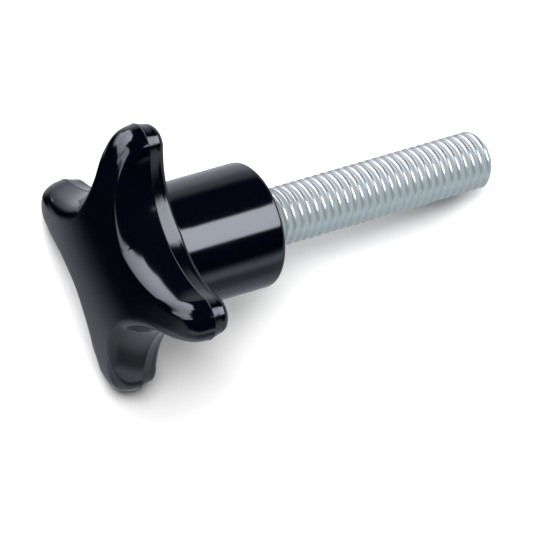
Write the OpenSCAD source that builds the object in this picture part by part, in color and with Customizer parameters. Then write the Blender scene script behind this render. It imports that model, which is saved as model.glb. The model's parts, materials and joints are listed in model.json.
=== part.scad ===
// Star knob: a moulded plastic grip with four arms and a round hub, and a threaded steel stud whose
// head is moulded into the hub. Millimetres. The origin is the centre of the hub's end face, and the
// knob lies at rest on two arm tips and on the end of its stud, which points along +X.

/* [Star] */
// Diameter over the tips of opposite arms
star_d = 50; // [44:1:63]
// Number of arms
arm_count = 4; // [3:1:6]
// Radius of an arm's tip, seen along the axis
arm_tip_r = 3.85; // [3:0.05:5]
// Distance from the axis to the bottom of the valleys between the arms
valley_r = 12.8; // [12.4:0.1:15]
// Thickness of the arms from the parting plane back to the hub side
arm_back_h = 3.5; // [2:0.1:6]
// How far the walls behind the parting plane lean inwards over their height
back_lean = 0.5; // [0.1:0.1:0.8]
// Radius of the edge on the hub side of the arms, at their tips
back_edge_tip_r = 1.8; // [0.5:0.1:1.9]
// Radius of the same edge in the middle of the valleys
back_edge_valley_r = 0.85; // [0.3:0.05:0.9]

/* [Crowned front] */
// Height of the front above the parting plane, at the axis
crown_h = 7.8; // [5:0.1:12]
// Height that the crown would have above the parting plane at the arm tips
crown_tip_h = 4.1; // [3:0.1:7]
// Inward reach of the rounded front edge at the arm tips
front_edge_tip = 5; // [3:0.1:8]
// Inward reach of the rounded front edge in the valleys
front_edge_valley = 3.5; // [2:0.1:5]
// Radius of an arm's tip where the rounded front edge ends
front_ridge_r = 1.6; // [0.4:0.1:2]
// Fullness of the rounded front edge at the arm tips: 2 is an ellipse, and more is squarer
front_fullness_tip = 3.6; // [2:0.1:4.5]
// The same fullness in the middle of the valleys
front_fullness_valley = 2.2; // [2:0.1:4]
// Draft of the rounded front edge at the parting plane, in degrees
front_draft = 5.7; // [0:0.1:8]

/* [Hub] */
// Diameter of the hub
hub_d = 21.5; // [19:0.1:22]
// Length of the hub, from its end face to the arms
hub_l = 19.4; // [18:0.1:30]
// Radius of the edge around the end face
hub_edge_r = 1; // [0.3:0.1:2]
// Radius of the fillet at the root of the hub, where the valleys leave room for it
hub_root_r = 0.6; // [0.2:0.1:1.2]
// Diameter of the relief around the stud in the end face
relief_d = 12; // [11.6:0.1:14]
// Depth of that relief
relief_h = 0.5; // [0.3:0.1:1]

/* [Stud] */
// Thread size, which is the diameter of the stud over its thread
stud_d = 10; // [8:0.5:10]
// Length of the stud outside the hub
stud_l = 45.5; // [30:0.5:80]
// Pitch of the thread
thread_pitch = 1.5; // [1:0.25:2]
// Chamfer on the end of the stud
stud_chamfer = 1; // [0.5:0.1:1.5]
// Diameter of the smooth neck inside the hub
neck_d = 9; // [6:0.1:9.4]
// Length of the stud inside the hub, from the hub's end face to the back of the head
anchor_l = 17.5; // [10:0.1:18]
// Width across the flats of the hexagonal head inside the hub
head_w = 13; // [11:0.1:15]
// Thickness of that head
head_h = 6.5; // [4:0.1:8]

/* [Hidden] */
$fn = 96;

HEX = 6;
// Standard metric section of the thread: its depth and crest as shares of the pitch
DEPTH_SHARE = 0.6134;
CREST_SHARE = 1 / 8;
FLANK_ANGLE = 30;
STAR_R = star_d / 2;
HALF_TURN = 180 / arm_count;
PARTING_Z = -(hub_l + arm_back_h);
STUD_FULL_Z = stud_l - stud_chamfer;
BACK_VALLEY_R = valley_r - back_lean - back_edge_valley_r;
ROOT_R = min(hub_root_r, BACK_VALLEY_R - hub_d / 2);
THREAD_DEPTH = DEPTH_SHARE * thread_pitch;
GROOVE_W = (1 - CREST_SHARE) * thread_pitch;
FLANK_W = THREAD_DEPTH * tan(FLANK_ANGLE);
TURNS = floor(STUD_FULL_Z / thread_pitch);

// Steps along each arc of the outline, and across the parts of the star's surface
TIP_STEPS = 8;
VALLEY_STEPS = 9;
CROWN_STEPS = 6;
EDGE_STEPS = 9;
BACK_EDGE_STEPS = 4;

// Distance from the axis to the centre of a valley's arc, which meets both tip arcs smoothly
function valley_centre(tip_c, tip_r, valley) =
    (pow(tip_c, 2) - pow(tip_r - valley, 2)) / (2 * (tip_c * cos(HALF_TURN) + tip_r - valley));

// Distance from the axis to a star outline, at the angle from the middle of the nearest arm. The
// arms reach out to reach, with tips of radius tip_r, and the valleys come in to valley.
function outline_r(angle, reach, tip_r, valley) =
    let (
        tip_c = reach - tip_r,
        valley_c = valley_centre(tip_c, tip_r, valley),
        hollow_r = valley_c - valley,
        share = tip_r / (tip_r + hollow_r),
        join_x = tip_c + (valley_c * cos(HALF_TURN) - tip_c) * share,
        join_y = valley_c * sin(HALF_TURN) * share,
        from_valley = HALF_TURN - angle
    )
    angle < atan2(join_y, join_x)
        ? tip_c * cos(angle) + sqrt(pow(tip_r, 2) - pow(tip_c * sin(angle), 2))
        : valley_c * cos(from_valley) - sqrt(pow(hollow_r, 2) - pow(valley_c * sin(from_valley), 2));

// Angles from the middle of an arm to the middle of a valley, evenly spaced along the two arcs
TIP_C = STAR_R - arm_tip_r;
VALLEY_C = valley_centre(TIP_C, arm_tip_r, valley_r);
HOLLOW_R = VALLEY_C - valley_r;
TIP_TURN = atan2(VALLEY_C * sin(HALF_TURN), VALLEY_C * cos(HALF_TURN) - TIP_C);
TIP_ANGLES = [
    for (i = [0:TIP_STEPS - 1])
        let (a = TIP_TURN * i / TIP_STEPS)
        atan2(arm_tip_r * sin(a), TIP_C + arm_tip_r * cos(a))
];
VALLEY_ANGLES = [
    for (i = [0:VALLEY_STEPS])
        let (a = TIP_TURN + (HALF_TURN - TIP_TURN) * i / VALLEY_STEPS)
        atan2(
            VALLEY_C * sin(HALF_TURN) - HOLLOW_R * sin(a),
            VALLEY_C * cos(HALF_TURN) - HOLLOW_R * cos(a)
        )
];
HALF_ANGLES = concat(TIP_ANGLES, VALLEY_ANGLES);
LAST = len(HALF_ANGLES) - 1;

// One pair for each point around the star: its angle from the nearest arm, and from the X axis
AROUND = [
    for (arm = [0:arm_count - 1])
        let (middle = (2 * arm + 1) * HALF_TURN)
        each concat(
            [for (i = [0:LAST]) [HALF_ANGLES[i], middle + HALF_ANGLES[i]]],
            [for (i = [LAST - 1:-1:1]) [HALF_ANGLES[i], middle + 2 * HALF_TURN - HALF_ANGLES[i]]]
        )
];
COUNT = len(AROUND);

function at(turn, r, z) = [r * cos(turn), r * sin(turn), z];

// Radii of the outline at the parting plane, and of the ridge line where the rounded edge ends
OUTER = [for (p = AROUND) outline_r(p[0], STAR_R, arm_tip_r, valley_r)];
RIDGE = [
    for (p = AROUND)
        outline_r(p[0], STAR_R - front_edge_tip, front_ridge_r, valley_r - front_edge_valley)
];

// Height of the crown above the parting plane: a shallow dome over the whole front
function crown(r) = crown_tip_h + (crown_h - crown_tip_h) * (1 - pow(r / STAR_R, 2));

// A ring of the crown inside the ridge line, at a share of its radius
function crown_ring(share) =
    [for (i = [0:COUNT - 1]) at(AROUND[i][1], RIDGE[i] * share, PARTING_Z - crown(RIDGE[i] * share))];

// Fullness of the rounded front edge, blended from the middle of an arm to the middle of a valley
FULLNESS = [
    for (p = AROUND)
        front_fullness_tip + (front_fullness_valley - front_fullness_tip) * p[0] / HALF_TURN
];

// A ring of the rounded front edge: 0 is at the parting plane and 90 at the ridge line
function edge_ring(turn) =
    [
        for (i = [0:COUNT - 1])
            let (
                reach = OUTER[i] * cos(turn) + RIDGE[i] * (1 - cos(turn)),
                height = crown(reach) * pow(1 - pow(cos(turn), FULLNESS[i]), 1 / FULLNESS[i]),
                r = reach - tan(front_draft) * height * cos(turn)
            )
            at(AROUND[i][1], r, PARTING_Z - height)
    ];

// Radius of the edge behind the parting plane, blended in the same way
BACK_EDGE = [
    for (p = AROUND)
        back_edge_tip_r + (back_edge_valley_r - back_edge_tip_r) * p[0] / HALF_TURN
];

// A ring of that edge: 0 is where the leaning wall ends and 90 on the flat back
function back_ring(turn) =
    [
        for (i = [0:COUNT - 1])
            let (
                inset = back_lean + BACK_EDGE[i] * (1 - cos(turn)),
                r = outline_r(AROUND[i][0], STAR_R - inset, arm_tip_r - inset, valley_r - inset)
            )
            at(AROUND[i][1], r, -hub_l - BACK_EDGE[i] * (1 - sin(turn)))
    ];

RINGS = concat(
    [for (i = [1:CROWN_STEPS - 1]) crown_ring(i / CROWN_STEPS)],
    [for (i = [EDGE_STEPS:-1:0]) edge_ring(90 * i / EDGE_STEPS)],
    [for (i = [0:BACK_EDGE_STEPS]) back_ring(90 * i / BACK_EDGE_STEPS)]
);
STAR_POINTS = concat([for (ring = RINGS) each ring], [[0, 0, PARTING_Z - crown_h], [0, 0, -hub_l]]);
BACK_START = (len(RINGS) - 1) * COUNT;
FRONT_MIDDLE = len(RINGS) * COUNT;
BACK_MIDDLE = FRONT_MIDDLE + 1;

// The knob lies on the lowest points of two arms and on the last full turn of the thread
REST_POINTS = concat(STAR_POINTS, [[hub_d / 2, 0, -hub_edge_r]]);
LIE_ANGLE = max([for (p = REST_POINTS) atan2(p[0] - stud_d / 2, STUD_FULL_Z - p[2])]);

// Turns a piece made along Z, with the stud's end up, to the way that the knob lies
module laid() {
    rotate([0, 90 + LIE_ANGLE, 0])
        children();
}

// The star with its crowned front, its parting plane and the flat back that carries the hub
module star() {
    polyhedron(
        points = STAR_POINTS,
        faces = concat(
            [for (i = [0:COUNT - 1]) [FRONT_MIDDLE, i, (i + 1) % COUNT]],
            [
                for (k = [0:len(RINGS) - 2], i = [0:COUNT - 1])
                    let (a = k * COUNT + i, b = k * COUNT + (i + 1) % COUNT)
                    each [[a, b + COUNT, b], [a, a + COUNT, b + COUNT]]
            ],
            [for (i = [0:COUNT - 1]) [BACK_MIDDLE, BACK_START + (i + 1) % COUNT, BACK_START + i]]
        ),
        convexity = 6
    );
}

// Half section of the hub, with its rounded end edge and the fillet at its root
module hub_section() {
    hub_r = hub_d / 2;
    root_z = -hub_l - arm_back_h / 2;
    translate([0, root_z])
        square([hub_r, -hub_edge_r - root_z]);
    translate([0, root_z])
        square([hub_r - hub_edge_r, -root_z]);
    translate([hub_r - hub_edge_r, -hub_edge_r])
        circle(hub_edge_r);
    difference() {
        translate([hub_r - hub_edge_r, root_z])
            square([hub_edge_r + ROOT_R, -hub_l + ROOT_R - root_z]);
        translate([hub_r + ROOT_R, -hub_l + ROOT_R])
            circle(ROOT_R);
    }
}

module hub() {
    rotate_extrude()
        hub_section();
}

// The part of the stud that the hub is moulded around: a hexagonal head and a smooth neck
module anchor() {
    translate([0, 0, -anchor_l])
        cylinder(d = head_w / cos(180 / HEX), h = head_h, $fn = HEX);
    translate([0, 0, -anchor_l])
        cylinder(d = neck_d, h = anchor_l - relief_h);
}

// Half section of the stud outside the hub: the thread's turns from the chamfered end back to the
// last full turn above the hub, and the plain stretch that is left there. The turns are rings with
// the thread's own section and pitch.
module threaded_section() {
    stud_r = stud_d / 2;
    thread_root_r = stud_r - THREAD_DEPTH;
    polygon(concat(
        [[0, -relief_h], [stud_r, -relief_h]],
        [
            for (i = [TURNS:-1:1])
                let (z = STUD_FULL_Z - i * thread_pitch)
                each [
                    [stud_r, z],
                    [thread_root_r, z + FLANK_W],
                    [thread_root_r, z + GROOVE_W - FLANK_W],
                    [stud_r, z + GROOVE_W]
                ]
        ],
        [[stud_r, STUD_FULL_Z], [stud_r - stud_chamfer, stud_l], [0, stud_l]]
    ));
}

module threaded_length() {
    rotate_extrude()
        threaded_section();
}

// One moulding: the star and the hub, closed around the stud's head and neck
module grip() {
    color([0.07, 0.07, 0.1])
        laid()
            difference() {
                union() {
                    star();
                    hub();
                }
                anchor();
                translate([0, 0, -relief_h])
                    cylinder(d = relief_d, h = 2 * relief_h);
            }
}

// One turned and rolled piece of zinc-plated steel
module stud() {
    color([0.78, 0.81, 0.85])
        laid()
            union() {
                anchor();
                threaded_length();
            }
}

grip();
stud();
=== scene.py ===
import json
import math

import bpy
import numpy as np
from mathutils import Matrix, Vector


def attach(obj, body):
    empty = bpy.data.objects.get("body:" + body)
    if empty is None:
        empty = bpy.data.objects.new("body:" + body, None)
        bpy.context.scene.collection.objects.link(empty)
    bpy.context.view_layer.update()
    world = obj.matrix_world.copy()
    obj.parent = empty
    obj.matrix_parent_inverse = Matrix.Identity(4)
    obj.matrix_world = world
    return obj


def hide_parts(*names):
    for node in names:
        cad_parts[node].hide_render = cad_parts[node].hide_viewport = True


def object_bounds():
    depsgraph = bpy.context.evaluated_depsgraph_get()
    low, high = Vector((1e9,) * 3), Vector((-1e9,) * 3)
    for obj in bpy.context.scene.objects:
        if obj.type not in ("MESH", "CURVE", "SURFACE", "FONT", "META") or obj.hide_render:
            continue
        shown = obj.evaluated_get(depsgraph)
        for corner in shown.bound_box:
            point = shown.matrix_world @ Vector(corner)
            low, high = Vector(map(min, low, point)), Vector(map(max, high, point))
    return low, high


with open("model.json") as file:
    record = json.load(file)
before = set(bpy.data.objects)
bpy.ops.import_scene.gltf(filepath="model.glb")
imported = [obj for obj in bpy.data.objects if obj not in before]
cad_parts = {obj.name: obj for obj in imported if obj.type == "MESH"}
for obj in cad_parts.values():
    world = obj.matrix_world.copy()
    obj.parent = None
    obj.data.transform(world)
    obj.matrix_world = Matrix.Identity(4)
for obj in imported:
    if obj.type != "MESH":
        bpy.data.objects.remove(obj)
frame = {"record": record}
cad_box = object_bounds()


# Camera: a long lens, high up on the front left side of the knob and rolled, so that the star
# shows its front and one side and the stud points to the upper right.
CAMERA_AZIMUTH = math.radians(-64.85)
CAMERA_ELEVATION = math.radians(71.03)
CAMERA_ROLL = math.radians(45.16)
CAMERA_DISTANCE = 0.8658
CAMERA_LENS = 347.6
CAMERA_SENSOR = 36
CAMERA_NEAR = 0.05
CAMERA_FAR = 20
CAMERA_AIM = Vector((0.0003, -0.0081, -0.0011))

camera = bpy.data.objects.new("camera", bpy.data.cameras.new("camera"))
camera.data.lens = CAMERA_LENS
camera.data.sensor_width = CAMERA_SENSOR
camera.data.clip_start = CAMERA_NEAR
camera.data.clip_end = CAMERA_FAR
camera_turn = (
    Matrix.Rotation(CAMERA_AZIMUTH, 4, "Z")
    @ Matrix.Rotation(math.pi / 2 - CAMERA_ELEVATION, 4, "X")
    @ Matrix.Rotation(CAMERA_ROLL, 4, "Z")
)
camera_back = camera_turn @ Vector((0, 0, CAMERA_DISTANCE))
camera.matrix_world = Matrix.Translation(CAMERA_AIM + camera_back) @ camera_turn
bpy.context.scene.collection.objects.link(camera)
bpy.context.scene.camera = camera


# Grip: the star and the hub, one moulding of glossy black phenolic, closed around the stud's head.
# The mould parts around the rim of the arms, and its joint leaves a hair-fine raised line there.
# Its form is drawn in millimetres, with 0 at the hub's face and the stud towards +Z.
MM = 0.001
STAR_R = 25.0
ARMS = 4
ARM_TIP_R = 3.85
VALLEY_R = 12.8
ARM_BACK_H = 3.5
BACK_LEAN = 0.5
BACK_EDGE_TIP_R = 1.8
BACK_EDGE_VALLEY_R = 0.85
CROWN_H = 7.79
CROWN_TIP_H = 4.1
FRONT_EDGE_TIP = 5.0
FRONT_EDGE_VALLEY = 3.5
FRONT_RIDGE_R = 1.6
FULLNESS_TIP = 3.6
FULLNESS_VALLEY = 2.2
FRONT_DRAFT = math.radians(5.7)
HUB_R = 10.75
HUB_L = 19.4
HUB_EDGE_R = 1.0
HUB_ROOT_R = 0.6
RELIEF_R = 6.0
RELIEF_H = 0.5
NECK_R = 4.5
ANCHOR_L = 17.5
HEAD_W = 13.0
HEAD_H = 6.5
SEAM_H = 0.06
SEAM_W = 0.08
PARTING_Z = -(HUB_L + ARM_BACK_H)
HALF_TURN = math.pi / ARMS
SHARP_ANGLE = math.radians(40)
TIP_STEPS = 20
VALLEY_STEPS = 22
CROWN_STEPS = 25
FRONT_EDGE_STEPS = 48
SEAM_STEPS = 6
BACK_EDGE_STEPS = 14
HUB_ROOT_STEPS = 8
HUB_WALL_STEPS = 8
HUB_EDGE_STEPS = 10
QUARTERS = (0.25, 0.5, 0.75)


def valley_centre(tip_c, tip_r, valley):
    """Distance from the axis to the centre of a valley's arc, which is tangent to both tip arcs."""
    return (tip_c**2 - (tip_r - valley) ** 2) / (2 * (tip_c * math.cos(HALF_TURN) + tip_r - valley))


def outline(angles, reach, tip_r, valley):
    """Radii of a star outline at these angles from the middle of the nearest arm."""
    tip_c = reach - tip_r
    valley_c = valley_centre(tip_c, tip_r, valley)
    hollow_r = valley_c - valley
    share = tip_r / (tip_r + hollow_r)
    join = np.arctan2(
        valley_c * math.sin(HALF_TURN) * share,
        tip_c + (valley_c * math.cos(HALF_TURN) - tip_c) * share,
    )
    away = HALF_TURN - angles
    tip = tip_c * np.cos(angles) + np.sqrt(np.maximum(tip_r**2 - (tip_c * np.sin(angles)) ** 2, 0))
    hollow = valley_c * np.cos(away) - np.sqrt(
        np.maximum(hollow_r**2 - (valley_c * np.sin(away)) ** 2, 0)
    )
    return np.where(angles < join, tip, hollow)


def arc_angles(tip_steps, valley_steps):
    """Angles from the middle of an arm to the middle of a valley, even along the outline's arcs."""
    tip_c = STAR_R - ARM_TIP_R
    valley_c = valley_centre(tip_c, ARM_TIP_R, VALLEY_R)
    hollow_r = valley_c - VALLEY_R
    centre = (valley_c * math.cos(HALF_TURN), valley_c * math.sin(HALF_TURN))
    turn = math.atan2(centre[1], centre[0] - tip_c)
    on_tip = np.linspace(0, turn, tip_steps, endpoint=False)
    in_valley = np.linspace(turn, HALF_TURN, valley_steps + 1)
    valley_x = centre[0] - hollow_r * np.cos(in_valley)
    valley_y = centre[1] - hollow_r * np.sin(in_valley)
    return np.concatenate([
        np.arctan2(ARM_TIP_R * np.sin(on_tip), tip_c + ARM_TIP_R * np.cos(on_tip)),
        np.arctan2(valley_y, valley_x),
    ])


def crown(r):
    """Height of the front above the parting plane: a shallow dome."""
    return CROWN_TIP_H + (CROWN_H - CROWN_TIP_H) * (1 - (r / STAR_R) ** 2)


def quarter_turn(steps):
    """Even angles over a quarter of a circle, from 0."""
    return np.linspace(0, math.pi / 2, steps + 1)


half = arc_angles(TIP_STEPS, VALLEY_STEPS)
from_arm = np.tile(np.concatenate([half, half[-2:0:-1]]), ARMS)
sector = np.concatenate([half, 2 * HALF_TURN - half[-2:0:-1]])
around = np.concatenate([sector + (2 * arm + 1) * HALF_TURN for arm in range(ARMS)])
to_valley = from_arm / HALF_TURN


def lean(inset):
    """The outline of the arms, moved in by an inset that may change around the star."""
    return outline(from_arm, STAR_R - inset, ARM_TIP_R - inset, VALLEY_R - inset)


# Each ring is its radii and its heights. The first ones run out over the crown and the front's
# round edge, which is fuller at the arm tips than in the valleys
rings = []
rim = lean(SEAM_H)
ridge = outline(from_arm, STAR_R - FRONT_EDGE_TIP, FRONT_RIDGE_R, VALLEY_R - FRONT_EDGE_VALLEY)
fullness = FULLNESS_TIP + (FULLNESS_VALLEY - FULLNESS_TIP) * to_valley
for share in np.linspace(0, 1, CROWN_STEPS + 1)[1:-1]:
    rings.append((ridge * share, PARTING_Z - crown(ridge * share)))
for turn in quarter_turn(FRONT_EDGE_STEPS)[:0:-1]:
    reach = rim * math.cos(turn) + ridge * (1 - math.cos(turn))
    height = crown(reach) * (1 - math.cos(turn) ** fullness) ** (1 / fullness)
    r = reach - math.tan(FRONT_DRAFT) * height * math.cos(turn)
    rings.append((r, PARTING_Z - SEAM_W - height * (1 - SEAM_W / crown(reach))))

# The raised line at the joint is a half-round bead
for turn in np.linspace(-math.pi / 2, math.pi / 2, SEAM_STEPS + 1):
    rings.append((lean(SEAM_H * (1 - math.cos(turn))), PARTING_Z + SEAM_W * math.sin(turn)))

# The wall leans in to the back's round edge, and the flat back runs in to the hub
back_edge = BACK_EDGE_TIP_R + (BACK_EDGE_VALLEY_R - BACK_EDGE_TIP_R) * to_valley
for share in QUARTERS:
    wall_h = SEAM_W + (ARM_BACK_H - back_edge - SEAM_W) * share
    rings.append((lean(SEAM_H + BACK_LEAN * share), PARTING_Z + wall_h))
for turn in quarter_turn(BACK_EDGE_STEPS):
    inset = SEAM_H + BACK_LEAN + back_edge * (1 - math.cos(turn))
    rings.append((lean(inset), -HUB_L - back_edge * (1 - math.sin(turn))))
back_flat = lean(SEAM_H + BACK_LEAN + back_edge)
for share in QUARTERS:
    rings.append((back_flat * (1 - share) + (HUB_R + HUB_ROOT_R) * share, -HUB_L))

# The hub: its root fillet, its wall, its round edge, and the shallow relief around the stud
for turn in quarter_turn(HUB_ROOT_STEPS):
    r = HUB_R + HUB_ROOT_R * (1 - math.sin(turn))
    rings.append((r, -HUB_L + HUB_ROOT_R * (1 - math.cos(turn))))
for z in np.linspace(-HUB_L + HUB_ROOT_R, -HUB_EDGE_R, HUB_WALL_STEPS + 1)[1:-1]:
    rings.append((HUB_R, z))
for turn in quarter_turn(HUB_EDGE_STEPS):
    r = HUB_R - HUB_EDGE_R * (1 - math.cos(turn))
    rings.append((r, -HUB_EDGE_R * (1 - math.sin(turn))))
rings += [((HUB_R - HUB_EDGE_R + RELIEF_R) / 2, 0), (RELIEF_R, 0), (RELIEF_R, -RELIEF_H)]


def anchor(angles):
    """Rings of the stud's smooth neck and hexagonal head, which are also the grip's cavity."""
    half_side = math.pi / 6
    head = HEAD_W / 2 / np.cos((angles + half_side) % (2 * half_side) - half_side)
    head_z = HEAD_H - ANCHOR_L
    return [(NECK_R, -RELIEF_H), (NECK_R, head_z), (head, head_z), (head, -ANCHOR_L)]


def turned(r, angles, z):
    """Points at these radii, angles and heights, as a plain list."""
    sides = np.broadcast_arrays(r * np.cos(angles), r * np.sin(angles), z)
    return np.stack(sides, axis=-1).reshape(-1, 3).tolist()


def band(first, second, count):
    """Faces between two rings, from where each ring of count points starts in the list."""
    after = [(i + 1) % count for i in range(count)]
    return [(first + i, first + after[i], second + after[i], second + i) for i in range(count)]


def fan(ring, middle, count):
    """Faces between a ring and the point that closes it at its upper end."""
    return [(ring + i, ring + (i + 1) % count, middle) for i in range(count)]


def fan_below(ring, middle, count):
    """Faces between a ring and the point that closes it at its lower end."""
    return [face[::-1] for face in fan(ring, middle, count)]


# The knob lies with its axis sloping down to the stud's end, as the hub face's own axis says
mounts = {mount["name"]: mount for mount in frame["record"]["mounts"]}
axis = Vector(mounts["hub_face"]["axis"])
laid_down = Matrix.Rotation(math.atan2(axis.x, axis.z), 3, "Y")


def solid(name, points, faces):
    """A closed piece from points in millimetres along its own axis, laid down as the knob lies."""
    mesh = bpy.data.meshes.new(name)
    mesh.from_pydata([laid_down @ Vector(point) * MM for point in points], [], faces)
    mesh.validate()
    mesh.shade_smooth()
    mesh.set_sharp_from_angle(angle=SHARP_ANGLE)
    piece = bpy.data.objects.new(name, mesh)
    bpy.context.scene.collection.objects.link(piece)
    return piece


count = len(around)
points = [(0, 0, PARTING_Z - CROWN_H)]
for r, z in rings + anchor(around):
    points += turned(r, around, z)
points.append((0, 0, -ANCHOR_L))
starts = range(1, len(points) - 1, count)
faces = fan_below(starts[0], 0, count)
for first, second in zip(starts, starts[1:]):
    faces += band(first, second, count)
faces += fan(starts[-1], len(points) - 1, count)
grip = solid("moulded_grip", points, faces)


class Shade:
    """A shader socket that takes part in arithmetic. An expression on values adds its Math nodes."""

    def __init__(self, tree, socket):
        self.tree, self.socket = tree, socket

    @classmethod
    def start(cls, name):
        """A new material, emptied of its nodes, and a Shade to build its tree with."""
        material = bpy.data.materials.new(name)
        material.use_nodes = True
        material.node_tree.nodes.clear()
        return material, cls(material.node_tree, None)

    def node(self, kind, settings=None, inputs=None, output=0):
        """Any other node: its type, its settings, the values or links of its sockets, and which
        output to go on with."""
        node = self.tree.nodes.new(kind)
        for key, value in (settings or {}).items():
            setattr(node, key, value)
        for key, value in (inputs or {}).items():
            if isinstance(value, Shade):
                self.tree.links.new(value.socket, node.inputs[key])
            else:
                node.inputs[key].default_value = value
        return Shade(self.tree, node.outputs[output] if node.outputs else None)

    def _math(self, operation, a, b):
        return self.node("ShaderNodeMath", {"operation": operation}, {0: a, 1: b})

    def __add__(self, other):
        return self._math("ADD", self, other)

    def __radd__(self, other):
        return self._math("ADD", other, self)

    def __sub__(self, other):
        return self._math("SUBTRACT", self, other)

    def __rsub__(self, other):
        return self._math("SUBTRACT", other, self)

    def __mul__(self, other):
        return self._math("MULTIPLY", self, other)

    def __rmul__(self, other):
        return self._math("MULTIPLY", other, self)

    def __pow__(self, other):
        return self._math("POWER", self, other)


def noise(tree, place, scale, detail):
    """A soft cloud of values around a half, with features of 1 / scale metres."""
    return tree.node("ShaderNodeTexNoise", None, {"Vector": place, "Scale": scale, "Detail": detail})


def blend(tree, share, low, high):
    """A colour between two colours."""
    return tree.node("ShaderNodeMix", {"data_type": "RGBA"}, {0: share, 6: low, 7: high}, output=2)


# Phenolic takes the polish of its mould: deep black with a cold tint, a faint flow pattern in the
# gloss, and a very slight waviness that only bends the reflections.
PHENOLIC_DEEP = (0.0006, 0.0010, 0.0030, 1)
PHENOLIC_PALE = (0.0012, 0.0018, 0.0048, 1)

phenolic, tree = Shade.start("black_phenolic")
place = tree.node("ShaderNodeTexCoord", output="Object")
flow = noise(tree, place, scale=90.0, detail=4.0)
fine = noise(tree, place, scale=1400.0, detail=3.0)
wave = noise(tree, place, scale=260.0, detail=1.0)
bump = tree.node(
    "ShaderNodeBump", None, {"Strength": 0.05, "Distance": 0.0002, "Height": wave + 0.1 * fine}
)
surface = tree.node("ShaderNodeBsdfPrincipled", None, {
    "Base Color": blend(tree, flow, PHENOLIC_DEEP, PHENOLIC_PALE),
    "Roughness": 0.05 + 0.06 * flow + 0.03 * fine,
    "Normal": bump,
    "IOR": 1.6,
})
tree.node("ShaderNodeOutputMaterial", None, {"Surface": surface})
grip.data.materials.append(phenolic)
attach(grip, "root")
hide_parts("grip")


# Stud: one piece of steel with a rolled M10 thread, bright zinc plated. Its chamfered end stands
# free, and its hexagonal head and smooth neck are moulded into the hub.
CREST_R = mounts["stud"]["dims"]["r_mm"]
PITCH = 1.5
THREAD_H = 0.72
ROOT_R = CREST_R - THREAD_H
CREST_FLAT = 0.38
CORNER_R = 0.08
FLANK_SLOPE = math.tan(math.radians(60))
PLAIN_END = 1.0
RUN_OUT = 0.8
STUD_CHAMFER = 1.0
FREE_END = mounts["stud"]["dims"]["length_mm"] - RELIEF_H + STUD_CHAMFER
AROUND_STEPS = 96
PROFILE_STEPS = 16


def thread_r(phase):
    """Radius of the thread at a share of its pitch: a flat crest, 60 degree flanks, a round root."""
    from_crest = np.abs((phase + 0.5) % 1 - 0.5)
    depth = (from_crest - CREST_FLAT / 2) * PITCH * FLANK_SLOPE
    soft = CORNER_R * np.logaddexp(0, depth / CORNER_R)
    return ROOT_R + CORNER_R * np.logaddexp(0, (THREAD_H - soft) / CORNER_R)


# The shank is one helical sheet: each row of points climbs by one pitch as it goes around, so its
# last point is joined to the row that lies a pitch further on
turns_from = -RELIEF_H / PITCH - 1
turns_to = FREE_END / PITCH
rows = int(math.ceil((turns_to - turns_from) * PROFILE_STEPS)) + 1
phases = turns_from + np.arange(rows) / PROFILE_STEPS
angles = np.arange(AROUND_STEPS) * 2 * math.pi / AROUND_STEPS
turns = angles / (2 * math.pi)
z = np.clip((phases[:, None] + turns) * PITCH, -RELIEF_H, FREE_END)
cut = np.clip((z - PLAIN_END) / RUN_OUT, 0, 1)
r = CREST_R - cut * (CREST_R - thread_r(z / PITCH - turns))
r = np.minimum(r, CREST_R - np.maximum(z - (FREE_END - STUD_CHAMFER), 0))
points = turned(r, angles, z)
index = np.arange(rows * AROUND_STEPS).reshape(rows, AROUND_STEPS)
pitch_on = np.minimum(np.arange(rows) + PROFILE_STEPS, rows - 1)
beside = np.hstack([index[:, 1:], index[pitch_on, :1]])
faces = np.stack([index[:-1], beside[:-1], beside[1:], index[1:]], axis=-1).reshape(-1, 4).tolist()

# The free end closes the last row, and the neck and head carry on below the first
points.append((0, 0, FREE_END))
faces += fan((rows - 1) * AROUND_STEPS, len(points) - 1, AROUND_STEPS)
upper = 0
for r, z in anchor(angles):
    lower = len(points)
    points += turned(r, angles, z)
    faces += band(lower, upper, AROUND_STEPS)
    upper = lower
points.append((0, 0, -ANCHOR_L))
faces += fan_below(upper, len(points) - 1, AROUND_STEPS)
stud = solid("threaded_stud", points, faces)


def ramp(tree, value, start, end, low=0.0, high=1.0, kind="SMOOTHSTEP"):
    """A step from low to high between two values, soft unless it is LINEAR."""
    return tree.node("ShaderNodeMapRange", {"interpolation_type": kind}, {
        "Value": value, "From Min": start, "From Max": end, "To Min": low, "To Max": high,
    })


def dot(tree, a, b):
    """The dot product of two vectors."""
    return tree.node("ShaderNodeVectorMath", {"operation": "DOT_PRODUCT"}, {0: a, 1: b}, output=1)


# The plating is rougher and less metallic in the grooves, and their base colour is darkened there as
# painted shade; the rolled crests are burnished brighter and smoother
ZINC_GROOVE_PAINTED_SHADE = (0.36, 0.38, 0.39, 1)
ZINC_CREST = (0.465, 0.485, 0.48, 1)
DULL_AND_SHADED_DEPTH = 0.35
BRIGHT_DEPTH = 0.05

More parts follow.
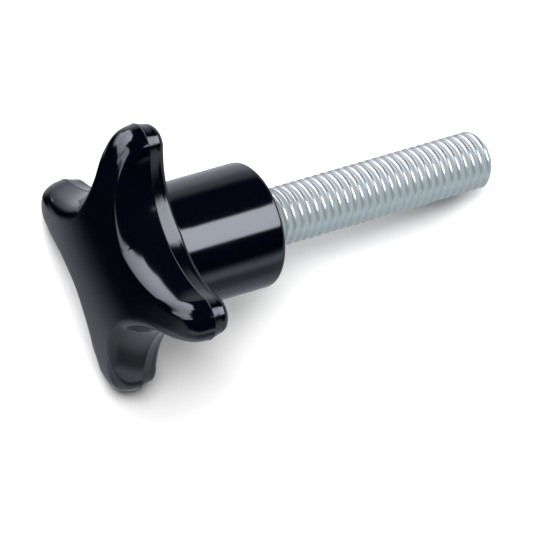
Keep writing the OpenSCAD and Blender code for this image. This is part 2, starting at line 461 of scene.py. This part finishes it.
zinc, tree = Shade.start("zinc_plate")
place = tree.node("ShaderNodeTexCoord", output="Object")
along = dot(tree, place, tuple(axis))
reach = (dot(tree, place, place) - along * along) ** 0.5
crest = ramp(tree, reach, (CREST_R - DULL_AND_SHADED_DEPTH) * MM, (CREST_R - BRIGHT_DEPTH) * MM)
cloud = noise(tree, place, scale=350.0, detail=3.0)
grain = noise(tree, place, scale=2500.0, detail=4.0)
bump = tree.node("ShaderNodeBump", None, {"Strength": 0.1, "Distance": 0.0001, "Height": grain})
surface = tree.node("ShaderNodeBsdfPrincipled", None, {
    # the darker groove end of this colour is painted shade, the brighter crest end is burnished
    # plating
    "Base Color": blend(tree, crest + 0.3 * cloud - 0.15, ZINC_GROOVE_PAINTED_SHADE, ZINC_CREST),
    "Metallic": 0.4 + 0.35 * crest,
    "Roughness": 0.36 + 0.1 * grain - 0.1 * crest,
    "Normal": bump,
})
tree.node("ShaderNodeOutputMaterial", None, {"Surface": surface})
stud.data.materials.append(zinc)
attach(stud, "root")
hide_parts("stud")


# Floor: a wide sheet of plain pale matt paper. It lies flat under the knob, at the height that its
# two arms and the end of its stud rest on.
FLOOR_SIDE = 6.0
PAPER = (0.9, 0.9, 0.9, 1)

floor_z = cad_box[0][2]
floor_mesh = bpy.data.meshes.new("floor")
side = FLOOR_SIDE / 2
floor_mesh.from_pydata(
    [(-side, -side, floor_z), (side, -side, floor_z), (side, side, floor_z), (-side, side, floor_z)],
    [],
    [(0, 1, 2, 3)],
)
floor = bpy.data.objects.new("floor", floor_mesh)
bpy.context.scene.collection.objects.link(floor)
paper, tree = Shade.start("pale_paper")
surface = tree.node("ShaderNodeBsdfPrincipled", None, {"Base Color": PAPER, "Roughness": 0.9})
tree.node("ShaderNodeOutputMaterial", None, {"Surface": surface})
floor_mesh.materials.append(paper)


# Lights: a high soft key at the back for the knob and its shadow, a low strip that lights only the
# floor, and a cold fill that lights only the stud. The gloss mirrors none of them, nor the floor: it
# mirrors the room of the next section, whose lower half stands for the bench.
LIGHT_DISTANCE = 1.3
FILL_COLOUR = (0.7, 0.95, 1.0)


def soft_box(name, azimuth, elevation, width, height, power):
    """An area light that looks at the origin, from degrees around from +X and up from the floor."""
    light = bpy.data.lights.new(name, "AREA")
    light.shape = "RECTANGLE"
    light.size = width
    light.size_y = height
    light.energy = power
    lamp = bpy.data.objects.new(name, light)
    lamp.visible_glossy = False
    turn, tilt = math.radians(azimuth), math.radians(elevation)
    out = Vector((math.cos(tilt) * math.cos(turn), math.cos(tilt) * math.sin(turn), math.sin(tilt)))
    lamp.location = out * LIGHT_DISTANCE
    lamp.rotation_euler = out.to_track_quat("Z", "Y").to_euler()
    bpy.context.scene.collection.objects.link(lamp)
    return lamp


def light_only(lamp, piece):
    """Makes a lamp light one piece and nothing else."""
    lit = bpy.data.collections.new(lamp.name + "_lights")
    lit.objects.link(piece)
    lamp.light_linking.receiver_collection = lit


soft_box("key_box", azimuth=120, elevation=72, width=0.9, height=0.9, power=27)
low = soft_box("low_box", azimuth=52, elevation=14, width=2.2, height=0.35, power=44)
fill = soft_box("fill_box", azimuth=-80, elevation=20, width=0.9, height=0.9, power=28)
fill.data.color = FILL_COLOUR
light_only(low, floor)
light_only(fill, stud)
floor.visible_glossy = False


# Room: the bright panels and dark cards that the gloss mirrors. They are placed in degrees, azimuth
# around from +X and elevation up from the horizon. Matt faces get an even grey light from the room
# instead, and the camera sees it as plain white past the floor.
DEGREES = 180 / math.pi
AZIMUTH_CUT = 140.0
ROOM_FILL = 0.12
ROOM_TINT = (0.955, 1.0, 1.12)

world = bpy.data.worlds.new("room")
bpy.context.scene.world = world
world.use_nodes = True
world.node_tree.nodes.clear()
sky = Shade(world.node_tree, None)
way = sky.node("ShaderNodeTexCoord", output="Generated")
x, y, z = [sky.node("ShaderNodeSeparateXYZ", None, {"Vector": way}, output=side) for side in "XYZ"]
bearing = DEGREES * sky.node("ShaderNodeMath", {"operation": "ARCTAN2"}, {0: y, 1: x})
wrapped = sky.node(
    "ShaderNodeMath", {"operation": "FLOORED_MODULO"}, {0: bearing + AZIMUTH_CUT, 1: 360.0}
)
azimuth = wrapped - AZIMUTH_CUT
elevation = DEGREES * sky.node("ShaderNodeMath", {"operation": "ARCSINE"}, {0: z})


def slope(value, start, end, low, high):
    """An even change from low to high between two values, and level past them."""
    return ramp(sky, value, start, end, low, high, "LINEAR")


def within(value, low, high, soft):
    """One between two edges and nothing outside them, with a soft step at each."""
    return ramp(sky, value, low - soft, low + soft) * ramp(sky, value, high + soft, high - soft)


def panel(azimuths, elevations, soft):
    """A soft-edged oblong of the room."""
    return within(azimuth, *azimuths, soft) * within(elevation, *elevations, soft)


# The large box behind the knob fades towards its foot and to its left, as the knob sees it. Its
# right side slants, its top has a notch, its lower left corner is cut off and shaded, and a dimmer
# strip lies below its foot.
back_fade = slope(azimuth, 90, 185, 5.3, 2.6) * slope(elevation, 0, 40, 0.66, 1.0)
back_side = azimuth - slope(elevation, 40, 62, 0, 18)
back_top = elevation + ramp(sky, azimuth, 146, 157, 0, 9) - ramp(sky, azimuth, 157, 165, 0, 10)
back_low = elevation - slope(azimuth, 150, 176, -4, 14)
back_width = within(back_side, 79, 300, soft=3) * within(azimuth, 0, 185, soft=3)
back_height = within(back_top, -90, 61, soft=3) * within(back_low, -2, 90, soft=4)
back_shade = 1 - 0.7 * panel((166, 178), (-6, 27), soft=3)
back_box = back_fade * back_width * back_height * back_shade
back_foot = 2.0 * panel((98, 142), (-20, -2), soft=4)

# The box beyond the stud's end is brighter and wider towards its top
end_fade = slope(elevation, 20, 50, 4.6, 6.9)
end_side = azimuth + slope(elevation, 27, 57, 0, 28)
end_width = within(end_side, -18, 200, soft=4) * within(azimuth, -34, 18, soft=3)
end_box = end_fade * end_width * within(elevation, 16, 54, soft=2.5)

# The bench is pale, with a dark card behind the knob and a grey one in front of it. Light falls on a
# patch of it beyond the stud, and a low glow runs along its front edge.
card_edge = elevation - slope(azimuth, 130, 180, -62, -49)
back_card = 1 - within(azimuth, 104, 190, soft=14) * within(card_edge, -1, 120, soft=9)
front_card = 1 - 0.5 * panel((-108, -60), (-32, -8), soft=9)
bench = 0.45 * within(elevation, -100, 3, soft=8) * back_card * front_card
side_patch = 0.4 * panel((40, 84), (-60, -14), soft=9)
front_glow = 0.5 * within(azimuth, -150, -46, soft=12) * within(elevation, -7, 8, soft=7)
studio = back_box + back_foot + end_box + bench + side_patch + front_glow

mirrored = sky.node("ShaderNodeLightPath", output="Is Glossy Ray")
seen = sky.node("ShaderNodeLightPath", output="Is Camera Ray")
tinted = sky.node(
    "ShaderNodeVectorMath", {"operation": "SCALE"}, {"Vector": ROOM_TINT, "Scale": studio}
)
room = blend(sky, mirrored, ROOM_FILL + (1 - ROOM_FILL) * seen, tinted)
background = sky.node("ShaderNodeBackground", None, {"Color": room, "Strength": 1.0})
sky.node("ShaderNodeOutputWorld", None, {"Surface": background})
world.cycles.sampling_method = "NONE"
bpy.context.scene.view_settings.view_transform = "Standard"
